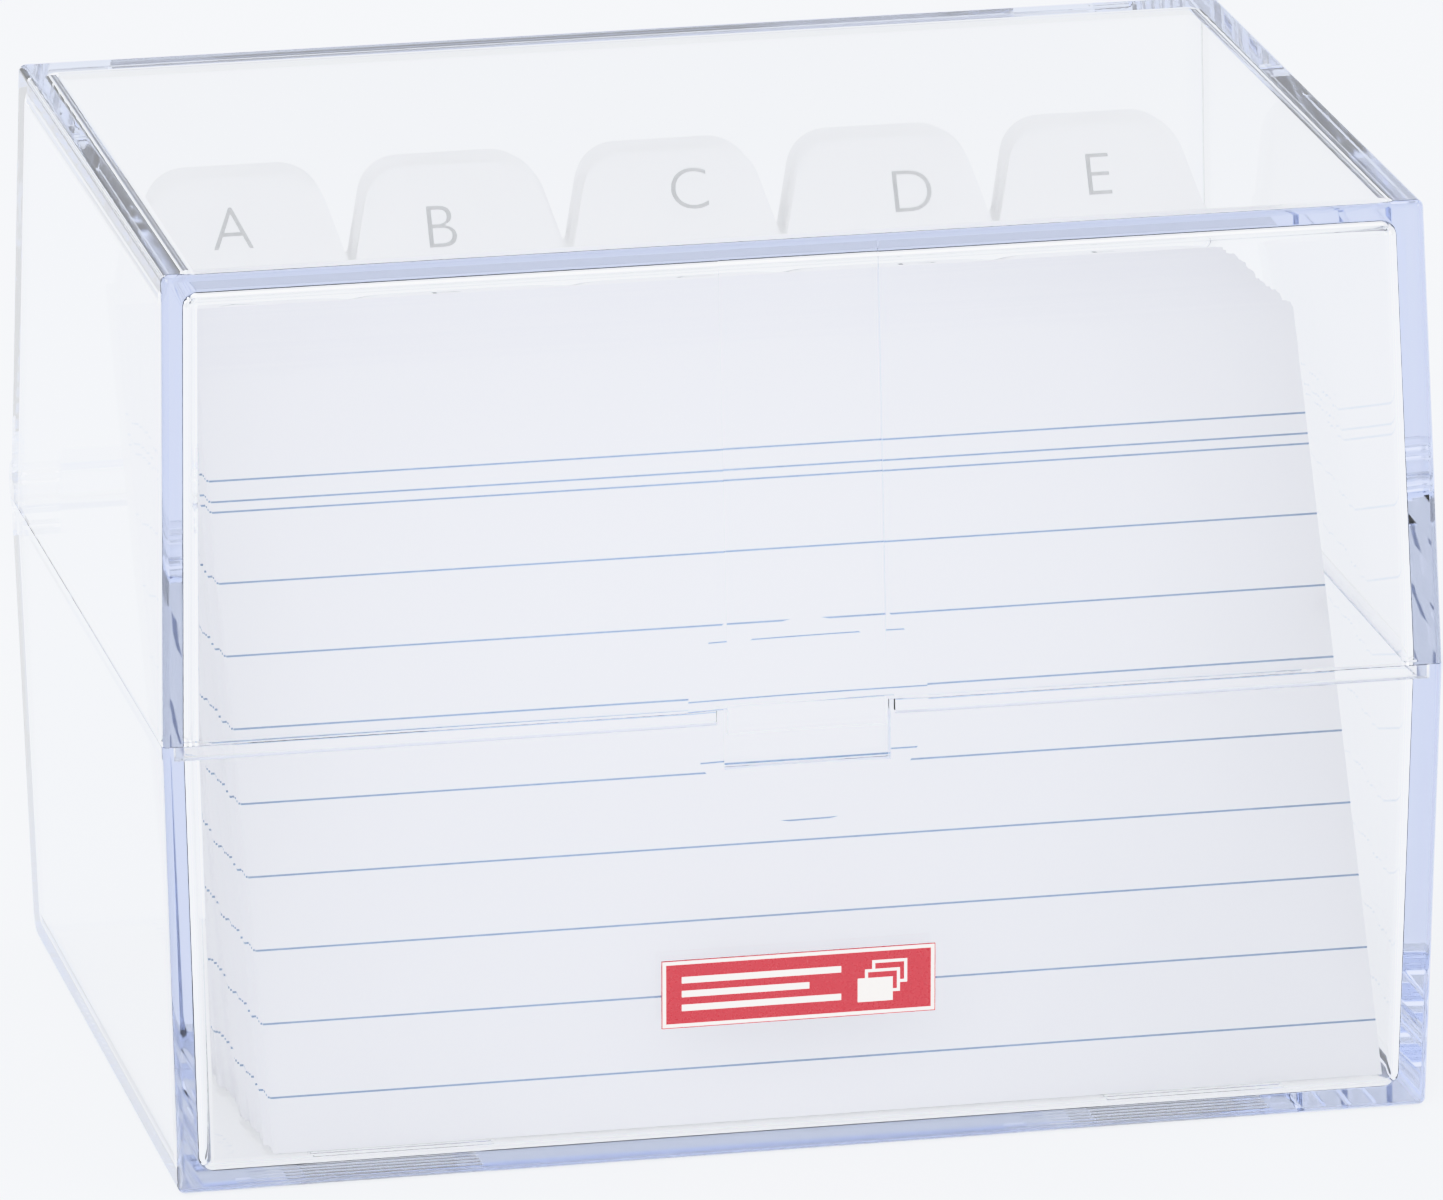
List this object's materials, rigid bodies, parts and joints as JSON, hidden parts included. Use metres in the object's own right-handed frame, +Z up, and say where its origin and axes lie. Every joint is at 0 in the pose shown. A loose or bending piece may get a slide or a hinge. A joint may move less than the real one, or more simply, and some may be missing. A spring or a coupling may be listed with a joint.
{
  "type": "card index box",
  "caption": "Clear hinged card-index box holding ruled cards that lean back and an A to Z register with five tab columns.",
  "frame": {"origin": "middle of the underside, at the plan centre of the box", "axes": "+Z up, -Y towards the front with the latch, +X to the right along the box's longest side"},
  "size_m": [0.12, 0.0918, 0.0868],
  "materials": {
    "clear_plastic": "polished clear polystyrene with a violet-blue edge tint",
    "card_paper": "uncoated white card",
    "register_card": "smooth white board",
    "label_film": "printed gloss paper"
  },
  "bodies": {
    "base": {"base_shell": "clear_plastic", "front_label": "label_film"},
    "lid": {"lid_shell": "clear_plastic"},
    "cards_01": {"cards_01": "card_paper"},
    "cards_02": {"cards_02": "card_paper"},
    "cards_03": {"cards_03": "card_paper"},
    "cards_04": {"cards_04": "card_paper"},
    "cards_05": {"cards_05": "card_paper"},
    "cards_06": {"cards_06": "card_paper"},
    "cards_07": {"cards_07": "card_paper"},
    "cards_08": {"cards_08": "card_paper"},
    "cards_09": {"cards_09": "card_paper"},
    "cards_10": {"cards_10": "card_paper"},
    "register_1": {"divider_A": "register_card", "divider_B": "register_card", "divider_C": "register_card", "divider_D": "register_card", "divider_E": "register_card"},
    "register_2": {"divider_F": "register_card", "divider_G": "register_card", "divider_H": "register_card", "divider_I": "register_card", "divider_J": "register_card"},
    "register_3": {"divider_K": "register_card", "divider_L": "register_card", "divider_M": "register_card", "divider_N": "register_card", "divider_O": "register_card"},
    "register_4": {"divider_P": "register_card", "divider_Q": "register_card", "divider_R": "register_card", "divider_S": "register_card", "divider_T": "register_card"},
    "register_5": {"divider_U": "register_card", "divider_V": "register_card", "divider_W": "register_card", "divider_XY": "register_card", "divider_Z": "register_card"}
  },
  "joints": [
    {"name": "lid_hinge", "type": "hinge", "parent": "base", "child": "lid", "pos_m": [0, 0.04565, 0.0437], "axis": [-1, 0, 0], "range_deg": [0, 170]},
    {"name": "cards_01_tilt", "type": "hinge", "parent": "base", "child": "cards_01", "pos_m": [0, -0.03702, 0.00198], "axis": [1, 0, 0], "range_deg": [0, 16]},
    {"name": "cards_02_tilt", "type": "hinge", "parent": "base", "child": "cards_02", "pos_m": [0, -0.03444, 0.00198], "axis": [1, 0, 0], "range_deg": [0, 15.51]},
    {"name": "cards_03_tilt", "type": "hinge", "parent": "base", "child": "cards_03", "pos_m": [0, -0.03185, 0.00198], "axis": [1, 0, 0], "range_deg": [0, 14.83]},
    {"name": "cards_04_tilt", "type": "hinge", "parent": "base", "child": "cards_04", "pos_m": [0, -0.02927, 0.00198], "axis": [1, 0, 0], "range_deg": [0, 14.14]},
    {"name": "cards_05_tilt", "type": "hinge", "parent": "base", "child": "cards_05", "pos_m": [0, -0.02669, 0.00198], "axis": [1, 0, 0], "range_deg": [0, 13.46]},
    {"name": "cards_06_tilt", "type": "hinge", "parent": "base", "child": "cards_06", "pos_m": [0, -0.02411, 0.00198], "axis": [1, 0, 0], "range_deg": [0, 12.77]},
    {"name": "cards_07_tilt", "type": "hinge", "parent": "base", "child": "cards_07", "pos_m": [0, -0.02152, 0.00198], "axis": [1, 0, 0], "range_deg": [0, 12.09]},
    {"name": "cards_08_tilt", "type": "hinge", "parent": "base", "child": "cards_08", "pos_m": [0, -0.01894, 0.00198], "axis": [1, 0, 0], "range_deg": [0, 11.4]},
    {"name": "cards_09_tilt", "type": "hinge", "parent": "base", "child": "cards_09", "pos_m": [0, -0.01636, 0.00198], "axis": [1, 0, 0], "range_deg": [0, 10.71]},
    {"name": "cards_10_tilt", "type": "hinge", "parent": "base", "child": "cards_10", "pos_m": [0, -0.01377, 0.00198], "axis": [1, 0, 0], "range_deg": [0, 10.03]},
    {"name": "register_1_tilt", "type": "hinge", "parent": "base", "child": "register_1", "pos_m": [0, -0.01119, 0.00198], "axis": [1, 0, 0], "range_deg": [0, 9.34]},
    {"name": "register_2_tilt", "type": "hinge", "parent": "base", "child": "register_2", "pos_m": [0, -0.00999, 0.00198], "axis": [1, 0, 0], "range_deg": [0, 8.66]},
    {"name": "register_3_tilt", "type": "hinge", "parent": "base", "child": "register_3", "pos_m": [0, -0.00878, 0.00198], "axis": [1, 0, 0], "range_deg": [0, 7.97]},
    {"name": "register_4_tilt", "type": "hinge", "parent": "base", "child": "register_4", "pos_m": [0, -0.00758, 0.00198], "axis": [1, 0, 0], "range_deg": [0, 7.29]},
    {"name": "register_5_tilt", "type": "hinge", "parent": "base", "child": "register_5", "pos_m": [0, -0.00637, 0.00198], "axis": [1, 0, 0], "range_deg": [0, 6.6]}
  ],
  "couplings": [
    {"joint": "cards_02_tilt", "follows": "cards_01_tilt", "ratio": 0.95714},
    {"joint": "cards_03_tilt", "follows": "cards_01_tilt", "ratio": 0.91429},
    {"joint": "cards_04_tilt", "follows": "cards_01_tilt", "ratio": 0.87143},
    {"joint": "cards_05_tilt", "follows": "cards_01_tilt", "ratio": 0.82857},
    {"joint": "cards_06_tilt", "follows": "cards_01_tilt", "ratio": 0.78571},
    {"joint": "cards_07_tilt", "follows": "cards_01_tilt", "ratio": 0.74286},
    {"joint": "cards_08_tilt", "follows": "cards_01_tilt", "ratio": 0.7},
    {"joint": "cards_09_tilt", "follows": "cards_01_tilt", "ratio": 0.65714},
    {"joint": "cards_10_tilt", "follows": "cards_01_tilt", "ratio": 0.61429},
    {"joint": "register_1_tilt", "follows": "cards_01_tilt", "ratio": 0.57143},
    {"joint": "register_2_tilt", "follows": "cards_01_tilt", "ratio": 0.52857},
    {"joint": "register_3_tilt", "follows": "cards_01_tilt", "ratio": 0.48571},
    {"joint": "register_4_tilt", "follows": "cards_01_tilt", "ratio": 0.44286},
    {"joint": "register_5_tilt", "follows": "cards_01_tilt", "ratio": 0.4}
  ]
}
